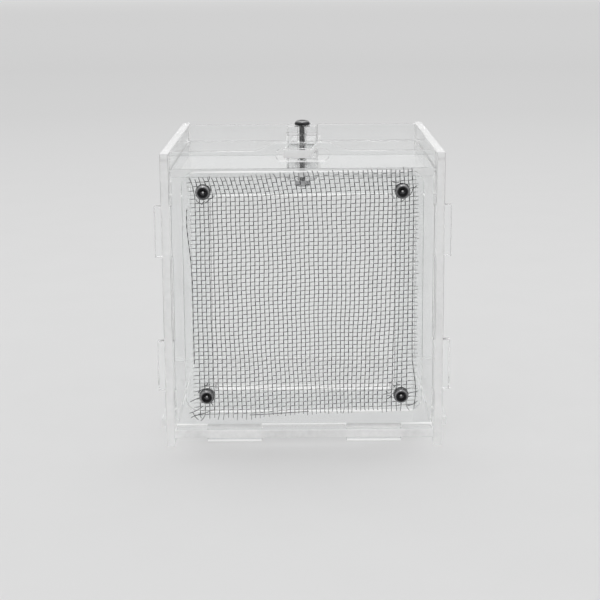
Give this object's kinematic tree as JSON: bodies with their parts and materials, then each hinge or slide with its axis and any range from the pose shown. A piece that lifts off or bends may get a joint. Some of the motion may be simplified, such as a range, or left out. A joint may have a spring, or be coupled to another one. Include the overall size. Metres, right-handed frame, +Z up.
{
  "type": "acrylic terrarium",
  "caption": "Small clear terrarium box of tabbed acrylic sheet with a wire-mesh front window and a pivoting lid with a turning latch.",
  "frame": {"origin": "bottom centre of the whole object, on the surface it stands on", "axes": "+Z up, -Y towards the meshed front, +X to the right seen from the front"},
  "size_m": [0.106, 0.102, 0.1152],
  "materials": {
    "clear_acrylic": "clear, polished faces, laser-cut edges",
    "mesh_wire": "dark woven wire",
    "black_screw": "blackened steel",
    "plain_steel": "plain steel"
  },
  "bodies": {
    "enclosure": {"base_panel": "clear_acrylic", "left_side_panel": "clear_acrylic", "right_side_panel": "clear_acrylic", "front_panel": "clear_acrylic", "back_panel": "clear_acrylic", "vent_frame": "clear_acrylic", "vent_mesh": "mesh_wire", "vent_screw_top_left": "black_screw", "vent_screw_top_right": "black_screw", "vent_screw_bottom_left": "black_screw", "vent_screw_bottom_right": "black_screw"},
    "lid": {"lid_panel": "clear_acrylic"},
    "latch": {"latch_pad": "clear_acrylic", "latch_spacer": "clear_acrylic", "latch_bar": "clear_acrylic", "latch_knob_lower": "clear_acrylic", "latch_knob_upper": "clear_acrylic", "latch_bolt": "black_screw", "latch_washer": "plain_steel", "latch_nut": "plain_steel"}
  },
  "joints": [
    {"name": "lid_hinge", "type": "hinge", "parent": "enclosure", "child": "lid", "pos_m": [0, 0.03922, 0.0991], "axis": [-1, 0, 0], "range_deg": [0, 100]},
    {"name": "latch_turn", "type": "hinge", "parent": "lid", "child": "latch", "pos_m": [0, -0.01795, 0.0991], "axis": [0, 0, 1], "range_deg": [0, 180]}
  ]
}
